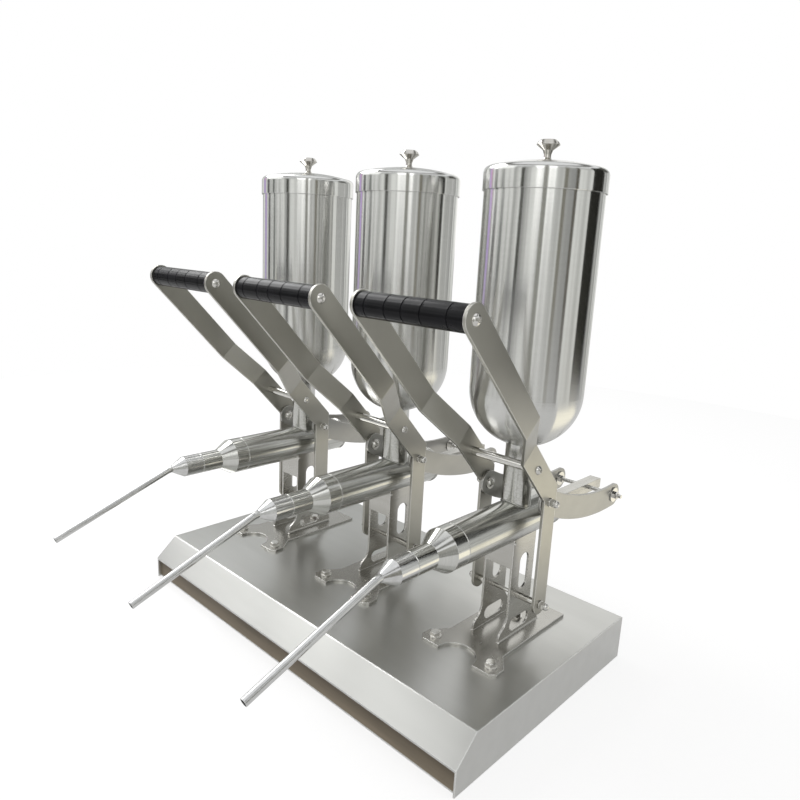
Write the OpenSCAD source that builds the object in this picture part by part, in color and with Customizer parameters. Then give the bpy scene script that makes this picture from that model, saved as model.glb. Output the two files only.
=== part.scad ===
// Table-top filling machine: three hoppers, each over its own hand-levered piston pump
// and bent filling nozzle, on one folded steel base. The row runs along X, the nozzles
// point to -Y, and the origin lies on the table under the axis of the middle hopper.

/* [Layout] */
// Distance from the base's ends to the middles of the outer pump heads
head_margin = 106; // [98:1:118]
// Height of the pump barrel's axis above the base top
axis_rise = 167.5; // [160:0.5:180]
// Height of the lever pivot above the base top
pivot_rise = 57.5; // [55:0.5:60]

/* [Base] */
// Width of the base along the row
base_w = 678; // [660:2:780]
// Height of the base top above the table
base_h = 66.5; // [58:0.5:80]
// Distance from the hopper axes back to the rear panel
base_rear = 157.5; // [140:0.5:180]
// Distance from the hopper axes forward to the upper bend of the sloping front
base_bend = 203; // [190:1:215]
// Distance from the hopper axes forward to the lip of the sloping front
base_front = 238; // [228:1:250]
// Height of the sloping front's lower lip
lip_h = 35; // [28:0.5:40]
// Sheet thickness of the base
base_t = 2; // [1.5:0.1:3]
// Outer radius of the base's folded edges
base_fold_r = 3; // [2.6:0.1:5]
// Setback of the front wall behind the lip
front_setback = 5; // [3:0.5:9]

/* [Hopper] */
// Outer radius of the hopper
hopper_r = 75; // [68:0.5:80]
// Height of the hopper from the bottom of its bowl to its rim
hopper_h = 351; // [300:1:400]
// Wall of the hopper
hopper_t = 1.5; // [1:0.1:2.5]
// Height of the bowl's bottom above the pump axis
bowl_rise = 107; // [100:0.5:120]
// Outer radius of the hopper's neck and of the pump's inlet tube
inlet_r = 20; // [17:0.5:22]
// Wall of the neck and of the inlet tube
inlet_t = 2; // [1.5:0.1:3]
// Height of the inlet tube's rim above the pump axis
inlet_rise = 81; // [70:0.5:90]
// Length of the neck's spigot inside the inlet tube
spigot_len = 15; // [10:0.5:20]

/* [Lid] */
// Gap between the hopper and the lid's skirt
lid_clear = 0.8; // [0.4:0.1:1.5]
// Sheet thickness of the lid
lid_t = 1.2; // [0.8:0.1:1.5]
// Height of the lid's straight skirt
lid_skirt = 21.5; // [15:0.5:28]
// Outer radius of the lid's rolled shoulder
lid_corner_r = 8; // [7:0.5:10]
// Rise of the lid's shallow dome above its shoulder
dome_rise = 8.4; // [5:0.1:12]
// Radius of the knob's disc
knob_r = 14.5; // [12:0.5:17]
// Height of the knob above the lid
knob_h = 25; // [22:0.5:30]
// Radius of the knob's stem
stem_r = 4.5; // [3.5:0.5:5.5]
// Radius of the knob's foot
knob_foot_r = 6; // [5.5:0.5:8]
// Height of the knob's foot
knob_foot_h = 2.5; // [1.5:0.5:3]
// Radius of the knob's flat top
knob_top_r = 8; // [6:0.5:10]
// Height of the sloping crown above the knob's rim
knob_crown_h = 6; // [4:0.5:7]
// Height of the flare under the knob's rim
knob_flare_h = 6.5; // [5:0.5:8]
// Radius of the stem where the flare begins
knob_neck_r = 6.3; // [5.5:0.1:7]
// Radius of the stud under the knob
knob_stud_r = 2.5; // [2:0.5:3]

/* [Pump barrel] */
// Outer radius of the pump barrel and of its front cap
barrel_r = 28.5; // [27:0.5:31]
// Wall of the pump barrel
barrel_t = 2.5; // [2:0.1:3.5]
// Distance from the inlet's axis forward to the joint with the front cap
cap_joint = 136; // [125:1:145]
// Distance from the inlet's axis back to the barrel's open rear end
barrel_rear = 80; // [72:1:90]
// Length of the barrel's spigot inside the front cap
cap_spigot = 10; // [8:0.5:14]
// Wall of the barrel's spigot
cap_spigot_t = 1.2; // [0.8:0.1:1.5]
// Width of the rolled rim at the barrel's rear end
rim_w = 4; // [3:0.5:6]
// Height of the rolled rim above the barrel
rim_rise = 1.2; // [0.8:0.1:2]

/* [Front cap and nozzle] */
// Length of the front cap's straight ring
cap_ring = 22; // [18:0.5:26]
// Length of the front cap's cone
cap_cone = 22; // [18:0.5:28]
// Outer radius of the spout behind the nozzle
spout_r = 16; // [14:0.5:18]
// Length of the front cap's spout
spout_len = 34; // [28:0.5:40]
// Wall of the spout and the nozzle holder
spout_t = 2.5; // [2:0.1:3]
// Chamfer at the joint lines
joint_chamfer = 0.6; // [0.4:0.1:1]
// Length of the nozzle holder's straight part
holder_len = 29; // [22:0.5:34]
// Length of the nozzle holder's cone
holder_cone = 19; // [15:0.5:24]
// Length of the nozzle holder's spigot inside the spout
holder_spigot = 12; // [8:0.5:15]
// Outer radius of the nozzle tube
nozzle_r = 5; // [4.5:0.1:6]
// Wall of the nozzle tube
nozzle_t = 1; // [0.8:0.1:1.5]
// Angle by which the nozzle tube points down
nozzle_angle = 21; // [10:1:30]
// Radius of the nozzle tube's bend along its centre line
nozzle_bend_r = 25; // [18:1:35]
// Width of the shoulder round the tube at the holder's tip
nozzle_shoulder = 0.6; // [0.5:0.1:1.2]
// Length of the holder's solid tip, which the tube runs through
nozzle_seat = 2; // [1.5:0.1:3]
// Length of the nozzle tube's straight part
nozzle_len = 182; // [120:1:200]

/* [Piston] */
// Distance from the inlet's axis back to the piston's face at rest
piston_y = 26; // [24:0.5:30]
// Length of the piston
piston_len = 34; // [28:0.5:38]
// Running clearance between the piston and the bore, on the radius
piston_clear = 0.07; // [0.03:0.01:0.1]
// Width of one seal
seal_w = 4; // [3:0.5:5]
// Depth of one seal
seal_d = 3.4; // [2.5:0.1:4]
// Width of the square rod
rod_w = 18; // [14:0.5:22]
// Height of the square rod
rod_h = 16; // [14:0.5:20]
// Distance from the rear pin back to the rod's end
rod_tail = 35; // [20:0.5:40]
// Chamfer at the ends of the rod and the piston
rod_chamfer = 1.2; // [0.6:0.1:2]

/* [Lever] */
// Thickness of the lever's plates
lever_t = 4; // [3:0.5:5]
// Width of the lever's upright shank
shank_w = 29; // [26:0.5:34]
// Width of the lever's arm
arm_w = 34; // [32:0.5:38]
// Distance from the lever pivot up to the link pin
crank_len = 149; // [146:0.5:154]
// Height of the elbow above the link pin
elbow_rise = 13; // [10:0.5:16]
// Angle of the arm from upright at rest
arm_angle = 43.4; // [42:0.1:48]
// Distance from the elbow along the arm to the stop rod
stop_reach = 55.2; // [52:0.2:58]
// Distance from the elbow along the arm to the lower fold
fold_low = 90; // [84:1:96]
// Distance from the elbow along the arm to the upper fold
fold_high = 156; // [148:1:165]
// Distance from the elbow along the arm to the grip
grip_reach = 334.6; // [300:0.2:360]
// Gap between the hopper and the arms beside it
arm_clear = 3; // [2:0.5:8]
// Inner radius of the arm's folds
fold_r = 4; // [2:0.5:8]
// Radius of the grip
grip_r = 15; // [13:0.5:17]
// Depth of the grip's ring grooves
grip_groove = 0.7; // [0.4:0.1:1]
// Width of the grip's ring grooves
grip_groove_w = 1.6; // [1:0.1:3]
// Radius of the stop rod
stop_r = 6.1; // [5:0.1:7]

/* [Links] */
// Distance between the inner faces of the two links
link_gap = 90; // [88:0.5:96]
// Thickness of a link
link_t = 4; // [3:0.5:5]
// Width of a link
link_w = 35; // [32:0.5:38]
// Depth of the link's curve below the line between its pins
link_sag = 13; // [8:0.5:18]
// Distance from the inlet's axis back to the rear pin at rest
rear_pin_y = 199; // [190:1:210]

/* [Bracket] */
// Sheet thickness of the bracket
bracket_t = 3; // [2.5:0.1:4]
// Thickness of the bracket's foot plate
foot_t = 4; // [3:0.5:5]
// Distance between the outer faces of the side plates
bracket_w = 46; // [42:0.5:48]
// Distance from the inlet's axis forward to the side plates' front edge
bracket_front = 29.7; // [27:0.1:34]
// Distance from the inlet's axis back to the side plates' rear edge
bracket_rear = 24; // [22:0.5:28]
// Reach of the side plates' front toe
toe_front = 18.3; // [14:0.1:22]
// Reach of the side plates' rear toe
toe_rear = 25; // [18:0.5:28]
// Height of the toes' upright ends above the foot plate
toe_h = 3; // [2:0.5:6]
// Angle that the toes' curves sweep
toe_angle = 60; // [45:1:75]
// Height of the front web's lower edge above the foot plate
web_rise = 103.5; // [95:0.5:115]
// Width of the upright slot
slot_w = 21; // [17:0.5:23]
// Length of the upright slot
slot_l = 53; // [44:0.5:56]
// Height of the upright slot's middle above the lever pivot
slot_rise = 39.5; // [38:0.5:42]
// Width of the level slot
low_slot_w = 19; // [16:0.5:20]
// Length of the level slot
low_slot_l = 46; // [38:0.5:47]
// Distance from the lever pivot down to the level slot's middle
low_slot_drop = 38; // [37:0.5:39]
// Width of the foot plate behind its ears
foot_w = 90; // [84:1:96]
// Distance from the inlet's axis back to the foot plate's rear edge
foot_rear = 89; // [80:1:100]
// Distance from the inlet's axis forward to the ears' front edge
ear_front = 114; // [110:1:120]
// Distance between the ears' outer edges
ear_w = 126; // [122:1:132]
// Chamfer at the ears' corners
ear_chamfer = 7; // [5:0.5:9]
// Length of the ears' straight sides
ear_side = 16; // [12:0.5:20]
// Length of the foot plate's shoulders behind the ears
ear_shoulder = 24; // [18:0.5:28]
// Radius of the scallop between the ears
scallop_r = 29; // [24:0.5:32]
// Distance from each ear's edges to its bolt
ear_inset = 16; // [14:0.5:18]
// Distance from the inlet's axis back to the foot plate's rear bolt
rear_bolt_y = 30; // [20:0.5:60]
// Radius of the weld fillets beside the side plates
weld_r = 3; // [2:0.5:5]

/* [Fasteners] */
// Radius of the main bolts
bolt_r = 4; // [3.5:0.1:4.4]
// Width across the flats of the main bolts' nuts
nut_af = 13; // [12:0.5:14]
// Height of the main bolts' nuts
nut_h = 6.5; // [5:0.5:8]
// Radius of the cross bolts of the lever, the links and the rod
pin_r = 3; // [2.5:0.1:3.4]
// Width across the flats of the cross bolts' nuts
pin_nut_af = 10; // [9:0.5:11]
// Height of the cross bolts' nuts
pin_nut_h = 6; // [4:0.5:7]
// Height of the cap nuts' domes
dome_h = 6; // [4.5:0.5:7]
// Radius of the washers under the cap nuts
pin_washer_r = 6; // [5.8:0.1:8]
// Radius of the washers inside the links' front ends
inner_washer_r = 9; // [8:0.5:12]
// Radius of the washers
washer_r = 8.5; // [8:0.5:10]
// Thickness of the washers
washer_t = 1.6; // [1.2:0.1:2]
// Radius of the wide washers on the rear pin
wide_washer_r = 11.5; // [11:0.5:14]
// Radius of the button heads
button_r = 7; // [6:0.5:8]
// Height of the button heads
button_h = 4.4; // [3.5:0.1:5]
// Width of the button heads' sockets
socket_af = 5; // [4:0.5:6]
// Depth of the button heads' sockets
socket_d = 2.2; // [1.5:0.1:2.4]
// Length of thread that shows past the rear pin's nuts
thread_end = 5; // [3:0.5:8]
// Radius of the pivot's spacer sleeves
sleeve_r = 5; // [4:0.5:6]
// Radius of the stop rod's screws
small_r = 3; // [2.5:0.1:3.2]
// Radius of the screws in the web's edges
web_screw_r = 1; // [0.8:0.1:1.1]
// Radius of those screws' heads
web_head_r = 2.6; // [2:0.1:3]
// Length of those screws' shanks
web_screw_len = 4.5; // [3.5:0.1:5]

/* [Fits] */
// Running clearance round the pins, on the radius
pin_clear = 0.05; // [0.03:0.01:0.1]
// Clearance of a bolt in its hole, on the radius
bolt_clear = 0.2; // [0.1:0.05:0.4]
// Clearance of a spigot in its socket, on the radius
spigot_clear = 0.05; // [0.03:0.01:0.1]
// Gap between parts that slide past each other
side_gap = 0.3; // [0.2:0.05:0.5]
// Clearance of the rear pin in its slot, all round
slot_clear = 0.4; // [0.3:0.05:0.6]

/* [Hidden] */

$fn = 96;

// One overrun serves all cuts
over = 1;

// Lever travel in degrees, forward positive: the rear end is where the stop rod meets
// the inlet tube, the front end where it meets the barrel's cap
lever_back = -3;
lever_front = 34;

// Segments of a fold or a drawn curve
arc_steps = 8;

// Distance between neighbouring pump heads
head_pitch = base_w / 2 - head_margin;

// Heights
axis_z = base_h + axis_rise;
pivot_z = base_h + pivot_rise;
link_pin_z = pivot_z + crank_len;
elbow_z = link_pin_z + elbow_rise;
bowl_z = axis_z + bowl_rise;
inlet_z = axis_z + inlet_rise;
hopper_z = bowl_z + hopper_h;
foot_z = base_h + foot_t;

// Pump barrel
bore_r = barrel_r - barrel_t;
cap_spigot_r = bore_r + cap_spigot_t;
piston_r = bore_r - piston_clear;
seal_gap = (piston_len - 2 * seal_w) / 3;

// The lid's corner sits on the hopper's rim
lid_r = hopper_r + lid_clear + lid_t;
lid_corner_x = lid_r - lid_corner_r;
lid_corner_in = lid_corner_r - lid_t;
lid_z = hopper_z + side_gap - sqrt(pow(lid_corner_in, 2) - pow(hopper_r - lid_corner_x, 2));
dome_r = (pow(lid_corner_x, 2) + pow(dome_rise, 2)) / (2 * dome_rise);
lid_top = lid_z + lid_corner_r + dome_rise;

// Places across the head, from the middle outwards
link_x = link_gap / 2;
lever_x = link_x + link_t + side_gap;
arm_x = hopper_r + arm_clear;
bracket_x = bracket_w / 2;

// The link between the pins
link_drop = link_pin_z - axis_z;
link_len = norm([rear_pin_y, link_drop]);
link_tilt = -atan2(link_drop, rear_pin_y);
link_arc_r = (pow(link_len / 2, 2) + pow(link_sag, 2)) / (2 * link_sag);

// Where the true linkage puts its pins when the lever is at angle a
function pin_y(a) = -crank_len * sin(a);
function pin_z(a) = pivot_z + crank_len * cos(a);
function turn(a) = asin((axis_z - pin_z(a)) / link_len) - link_tilt;
function rear_y(a) = pin_y(a) + sqrt(pow(link_len, 2) - pow(pin_z(a) - axis_z, 2));

// The steady rates that stand for it: degrees of link and length of stroke per degree
travel = lever_front - lever_back;
turn_rate = (turn(lever_front) - turn(lever_back)) / travel;
stroke_rate = (rear_y(lever_back) - rear_y(lever_front)) / travel;

// The rear pin's place in the link at lever angle a, from its place at rest
function slip(a) =
    let (
        dy = rear_pin_y - stroke_rate * a - pin_y(a),
        dz = axis_z - pin_z(a),
        t = -turn_rate * a - link_tilt
    )
    [dy * cos(t) - dz * sin(t) - link_len, dy * sin(t) + dz * cos(t)];
slip_step = 0.01;
function outwards(list) = [
    floor(min(list) / slip_step) * slip_step, ceil(max(list) / slip_step) * slip_step
];
slip_steps = 24;
slips = [for (i = [0:slip_steps]) slip(lever_back + travel * i / slip_steps)];
slip_u = outwards([for (s = slips) s[0]]);
slip_v = outwards([for (s = slips) s[1]]);

// The toes' curves bend in, then out, in these shares
toe_shares = [0.64, 0.36];

// Flat face of a nut as a share of its width, the slope of its chamfer, and a cap nut's
// dome radius as a share of that width
nut_face_share = 0.95;
nut_bevel = 30;
dome_r_share = 0.5;

// Folds of the arm
fold_turn = atan2(arm_x - lever_x, fold_high - fold_low);

// Grooves that divide the grip, as shares of its length
grip_groove_shares = [0.1, 0.3, 0.46, 0.63, 0.86];

// Hexagon with the given width across its flats
module hexagon(af) circle(r = af / sqrt(3), $fn = 6);

// A flat outline in Y and Z, made into a plate from x0 to x0 + t
module plate_x(x0, t) translate([x0, 0, 0]) rotate([90, 0, 90]) linear_extrude(t) children();

// A round body along X from x0
module rod_x(x0, l, r) translate([x0, 0, 0]) rotate([0, 90, 0]) cylinder(h = l, r = r);

// The two sides of a head
module both_sides() {
    children();
    mirror([1, 0, 0]) children();
}

// One of the three places in the row
module head(i) translate([(i - 2) * head_pitch, 0, 0]) children();

// Long slot with round ends along Y, centred
module slot_2d(l, w) {
    square([l - w, w], center = true);
    translate([(l - w) / 2, 0]) circle(r = w / 2);
    translate([-(l - w) / 2, 0]) circle(r = w / 2);
}

// Nut or bolt head on the plane z = 0, its outer corners chamfered
module hex_nut(af, h) {
    face = nut_face_share * af / 2;
    intersection() {
        linear_extrude(h) hexagon(af);
        rotate_extrude() polygon([
            [0, -over], [af, -over], [af, h - (af - face) * tan(nut_bevel)],
            [face - over / tan(nut_bevel), h + over], [0, h + over]
        ]);
    }
}

// Hex nut along X from x0 outwards
module nut_x(x0) translate([x0, 0, 0]) rotate([0, 90, 0]) hex_nut(pin_nut_af, pin_nut_h);

// Cap nut with its washer along X from x0 outwards
module cap_nut_x(x0) {
    rod_x(x0, washer_t, pin_washer_r);
    nut_x(x0 + washer_t);
    translate([x0 + washer_t + pin_nut_h, 0, 0]) rotate([0, 90, 0]) rotate_extrude()
        intersection() {
            translate([0, dome_h - dome_r_share * pin_nut_af])
                circle(r = dome_r_share * pin_nut_af);
            square([pin_nut_af, dome_h]);
        }
}

// Button head with its socket: it stands along +Z on the plane z = 0
module button_head(r, h, af, d) {
    ball = (pow(r, 2) + pow(h, 2)) / (2 * h);
    difference() {
        rotate_extrude() intersection() {
            translate([0, h - ball]) circle(r = ball);
            square([r, h]);
        }
        translate([0, 0, h - d]) linear_extrude(d + over) hexagon(af);
    }
}

// Points along an arc round c, from angle a to angle b
function arc(c, r, a, b) = [
    for (i = [0:arc_steps]) let (t = a + (b - a) * i / arc_steps) c + r * [cos(t), sin(t)]
];

// Points that round the corner p between a line with heading a and one with heading b
function corner(p, a, b, r) =
    let (s = sign(b - a), l = r * tan(abs(b - a) / 2))
    arc(p - l * [cos(a), sin(a)] + s * r * [-sin(a), cos(a)], r, a - s * 90, b - s * 90);

// One side of a strip that is bent along the points p: its distance from their line is o,
// and their line bends with radius m
function strip_side(p, o, m) =
    let (
        n = len(p) - 1,
        a = [for (i = [0:n - 1]) atan2(p[i + 1][1] - p[i][1], p[i + 1][0] - p[i][0])],
        v = [for (t = a) [-sin(t), cos(t)]]
    )
    [
        p[0] + o * v[0],
        for (i = [1:n - 1])
            each corner(
                p[i] + o * (v[i - 1] + v[i]) / (1 + v[i - 1] * v[i]),
                a[i - 1], a[i], m - o * sign(a[i] - a[i - 1])
            ),
        p[n] + o * v[n - 1]
    ];

// Bent strip along the points p, with thickness t and inner bend radius r
module bent_strip(p, t, r) {
    far = strip_side(p, -t / 2, r + t / 2);
    polygon([
        each strip_side(p, t / 2, r + t / 2),
        for (i = [len(far) - 1:-1:0]) far[i]
    ]);
}

// The base

// Angle of the sloping front
base_slope = atan2(base_h - lip_h, base_front - base_bend);

module base_shell() color([0.66, 0.67, 0.66]) {
    t = base_t;
    in_r = base_fold_r - t;
    in_lip = lip_h - t / cos(base_slope);
    difference() {
        plate_x(-base_w / 2, base_w) polygon([
            [-base_front, 0], [base_rear, 0],
            each corner([base_rear, base_h], 90, 180, base_fold_r),
            each corner([-base_bend, base_h], 180, 180 + base_slope, base_fold_r),
            [-base_front, lip_h]
        ]);
        plate_x(-base_w / 2 + t, base_w - 2 * t) polygon([
            [-base_front - over, -over], [base_rear - t, -over],
            each corner([base_rear - t, base_h - t], 90, 180, in_r),
            each corner(
                [-base_bend + t * tan(base_slope / 2), base_h - t], 180, 180 + base_slope, in_r
            ),
            [-base_front - over, in_lip - over * tan(base_slope)]
        ]);
        for (i = [1:3]) head(i) foot_holes(-base_t);
    }
}

module base_front() color([0.5, 0.48, 0.45]) {
    y0 = -base_front + front_setback;
    under = lip_h - base_t / cos(base_slope) + front_setback * tan(base_slope);
    plate_x(-base_w / 2 + base_t, base_w - 2 * base_t) polygon([
        [y0, base_t], [y0 + base_t, base_t],
        [y0 + base_t, under + base_t * tan(base_slope)], [y0, under]
    ]);
}

module base_plate() color([0.6, 0.6, 0.59])
    translate([-base_w / 2 + base_t, -base_front + front_setback, 0])
        cube([base_w - 2 * base_t, base_front - front_setback + base_rear - base_t, base_t]);

// Hopper and lid

module bowl_2d(r, top) {
    intersection() {
        translate([0, bowl_z + hopper_r]) circle(r = r);
        translate([0, bowl_z - over]) square([r, hopper_r + over]);
    }
    translate([0, bowl_z + hopper_r]) square([r, top - bowl_z - hopper_r]);
}

module hopper() color([0.78, 0.78, 0.76]) rotate_extrude() {
    difference() {
        union() {
            bowl_2d(hopper_r, hopper_z);
            translate([0, inlet_z]) square([inlet_r, bowl_rise - inlet_rise + inlet_r / 2]);
            translate([0, inlet_z - spigot_len])
                square([inlet_r - inlet_t - spigot_clear, spigot_len + over]);
        }
        bowl_2d(hopper_r - hopper_t, hopper_z + over);
        translate([0, inlet_z - spigot_len - over]) square([
            inlet_r - inlet_t - spigot_clear - hopper_t, spigot_len + bowl_rise - inlet_rise + inlet_r
        ]);
    }
}

module lid_2d(d) {
    translate([0, lid_z - lid_skirt - (d > 0 ? over : 0)])
        square([lid_r - d, lid_skirt + (d > 0 ? over : 0)]);
    translate([0, lid_z - over]) square([lid_corner_x, lid_corner_r - d + over]);
    translate([lid_corner_x, lid_z]) intersection() {
        circle(r = lid_corner_r - d);
        square(lid_corner_r);
    }
    intersection() {
        translate([0, lid_top - dome_r]) circle(r = dome_r - d);
        translate([0, lid_z]) square([lid_corner_x, lid_corner_r + dome_rise]);
    }
}

module lid() color([0.8, 0.8, 0.79]) rotate_extrude() difference() {
    lid_2d(0);
    lid_2d(lid_t);
    translate([0, lid_top - dome_rise]) square([knob_stud_r + bolt_clear, 2 * dome_rise]);
}

module knob() color([0.82, 0.82, 0.82]) rotate_extrude() {
    rim_z = knob_h - knob_crown_h;
    neck_z = rim_z - knob_flare_h;
    slope = knob_r - knob_top_r;
    translate([0, lid_top - lid_t - knob_foot_h - nut_h / 2]) {
        square([knob_stud_r, knob_foot_h + lid_t + nut_h]);
        square([2 * knob_stud_r, knob_foot_h + nut_h / 2 - side_gap / 2]);
    }
    translate([0, lid_top]) polygon([
        [0, 0], [knob_foot_r, 0], [knob_foot_r, knob_foot_h / 2], [stem_r, knob_foot_h * 1.5],
        [stem_r, neck_z * 0.6], [knob_neck_r, neck_z],
        [knob_r - joint_chamfer, rim_z - joint_chamfer], [knob_r, rim_z],
        [knob_top_r + slope * 0.7, rim_z + knob_crown_h * 0.57],
        [knob_top_r + slope * 0.3, knob_h - joint_chamfer / 2], [knob_top_r, knob_h], [0, knob_h]
    ]);
}

// Pump

// A revolved outline along -Y, its z = 0 at the given distance in front of the inlet
module turned(y) translate([0, -y, axis_z]) rotate([90, 0, 0]) rotate_extrude() children();

module barrel() color([0.76, 0.76, 0.74]) difference() {
    union() {
        turned(-barrel_rear) polygon([
            [0, 0], [barrel_r + rim_rise - joint_chamfer, 0],
            [barrel_r + rim_rise, joint_chamfer], [barrel_r + rim_rise, rim_w - rim_rise],
            [barrel_r, rim_w], [barrel_r, barrel_rear + cap_joint - joint_chamfer],
            [barrel_r - joint_chamfer, barrel_rear + cap_joint],
            [cap_spigot_r, barrel_rear + cap_joint],
            [cap_spigot_r, barrel_rear + cap_joint + cap_spigot],
            [0, barrel_rear + cap_joint + cap_spigot]
        ]);
        translate([0, 0, axis_z]) cylinder(h = inlet_rise, r = inlet_r);
    }
    turned(-barrel_rear - over)
        square([bore_r, barrel_rear + cap_joint + cap_spigot + 2 * over]);
    translate([0, 0, axis_z]) cylinder(h = inlet_rise + over, r = inlet_r - inlet_t);
}

module front_cap() color([0.78, 0.78, 0.75]) turned(cap_joint) {
    socket = cap_spigot_r + spigot_clear;
    throat = spout_r - spout_t;
    cone_end = cap_ring + cap_cone;
    polygon([
        [socket, 0], [barrel_r - joint_chamfer, 0], [barrel_r, joint_chamfer],
        [barrel_r, cap_ring], [spout_r, cone_end],
        [spout_r, cone_end + spout_len - joint_chamfer],
        [spout_r - joint_chamfer, cone_end + spout_len], [throat, cone_end + spout_len],
        [throat, cone_end - spout_t / 2], [bore_r, cap_ring - spout_t / 2],
        [bore_r, cap_spigot + side_gap], [socket, cap_spigot + side_gap]
    ]);
}

// Start of the nozzle holder and end of its cone, in front of the inlet's axis
holder_y = cap_joint + cap_ring + cap_cone + spout_len;
holder_end = holder_y + holder_len + holder_cone;

// The nozzle's tube with its radius r. It starts inside the holder's tip, where it
// already bends, and is drawn in the frame of its straight part.
module nozzle_tube(r, extra) {
    tuck = asin((nozzle_seat + 2 * over) / nozzle_bend_r);
    translate([0, -holder_end, axis_z - nozzle_bend_r])
        rotate([nozzle_angle, 0, 0]) rotate([0, -90, 90]) {
            translate([nozzle_bend_r, 0, 0]) cylinder(h = nozzle_len + extra, r = r);
            rotate([-90, 0, 0]) rotate_extrude(angle = nozzle_angle + tuck)
                translate([nozzle_bend_r, 0]) circle(r = r);
        }
}

module nozzle() color([0.8, 0.8, 0.78]) {
    tip = nozzle_r + nozzle_shoulder;
    plug = spout_r - spout_t - spigot_clear;
    room = plug - spout_t;
    end = holder_len + holder_cone;
    difference() {
        union() {
            turned(holder_y) polygon([
                [0, -holder_spigot], [plug, -holder_spigot], [plug, 0],
                [spout_r - joint_chamfer, 0], [spout_r, joint_chamfer],
                [spout_r, holder_len], [tip, end], [0, end]
            ]);
            nozzle_tube(nozzle_r, 0);
        }
        turned(holder_y) polygon([
            [0, -holder_spigot - over], [room, -holder_spigot - over],
            [room, holder_len - spout_t], [tip, end - nozzle_seat], [0, end - nozzle_seat]
        ]);
        nozzle_tube(nozzle_r - nozzle_t, over);
    }
}

// Piston

module piston() color([0.72, 0.72, 0.7]) difference() {
    union() {
        turned(-piston_y - piston_len) difference() {
            polygon([
                [0, 0], [piston_r - rod_chamfer, 0], [piston_r, rod_chamfer],
                [piston_r, piston_len - rod_chamfer], [piston_r - rod_chamfer, piston_len],
                [0, piston_len]
            ]);
            for (i = [0:1])
                translate([piston_r - seal_d, seal_gap + i * (seal_gap + seal_w)])
                    square([seal_d + over, seal_w]);
        }
        y0 = piston_y + piston_len;
        translate([0, 0, axis_z]) rotate([90, 0, 90]) translate([0, 0, -rod_w / 2])
            linear_extrude(rod_w) polygon([
                [y0 - over, -rod_h / 2], [rear_pin_y + rod_tail - rod_chamfer, -rod_h / 2],
                [rear_pin_y + rod_tail, -rod_h / 2 + rod_chamfer],
                [rear_pin_y + rod_tail, rod_h / 2 - rod_chamfer],
                [rear_pin_y + rod_tail - rod_chamfer, rod_h / 2], [y0 - over, rod_h / 2]
            ]);
    }
    translate([0, rear_pin_y, axis_z]) rod_x(-rod_w, 2 * rod_w, pin_r + bolt_clear);
}

module seals() color([0.12, 0.12, 0.12]) for (i = [0:1])
    turned(-piston_y - piston_len) difference() {
        translate([piston_r - seal_d + side_gap / 3, seal_gap + i * (seal_gap + seal_w) + side_gap / 3])
            square([seal_d - side_gap / 3 + piston_clear / 2, seal_w - side_gap * 2 / 3]);
    }

// Links and rear pin

module link_2d() {
    half = asin(link_len / 2 / link_arc_r);
    far = 2 * link_arc_r;
    difference() {
        union() {
            translate([link_len / 2, link_arc_r - link_sag]) intersection() {
                difference() {
                    circle(r = link_arc_r + link_w / 2, $fn = 360);
                    circle(r = link_arc_r - link_w / 2, $fn = 360);
                }
                polygon([[0, 0], far * [-sin(half), -cos(half)], far * [sin(half), -cos(half)]]);
            }
            circle(r = link_w / 2);
            translate([link_len, 0]) circle(r = link_w / 2);
        }
        circle(r = pin_r + pin_clear);
        translate([link_len, 0]) pin_slot(pin_r + slot_clear);
    }
}

// Slot that the rear pin wanders in, r round the pin
module pin_slot(r) {
    translate([slip_u[0] - r, slip_v[0]])
        square([slip_u[1] - slip_u[0] + 2 * r, slip_v[1] - slip_v[0]]);
    translate([slip_u[0], slip_v[0] - r])
        square([slip_u[1] - slip_u[0], slip_v[1] - slip_v[0] + 2 * r]);
    for (u = slip_u, v = slip_v) translate([u, v]) circle(r = r);
}

module links() color([0.7, 0.69, 0.67]) both_sides() translate([0, 0, link_pin_z])
    plate_x(link_x, link_t) rotate(link_tilt) link_2d();

module rear_pin() color([0.6, 0.6, 0.6]) translate([0, rear_pin_y, axis_z]) {
    end = lever_x + washer_t + pin_nut_h + thread_end;
    rod_x(-end, 2 * end, pin_r);
    both_sides() {
        rod_x(lever_x, washer_t, wide_washer_r);
        nut_x(lever_x + washer_t);
        rod_x(link_x - side_gap - washer_t, washer_t, wide_washer_r);
        mirror([1, 0, 0]) nut_x(washer_t + side_gap - link_x);
    }
}

// Lever

module arm_frame() translate([0, 0, elbow_z]) rotate([arm_angle, 0, 0]) children();

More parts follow.
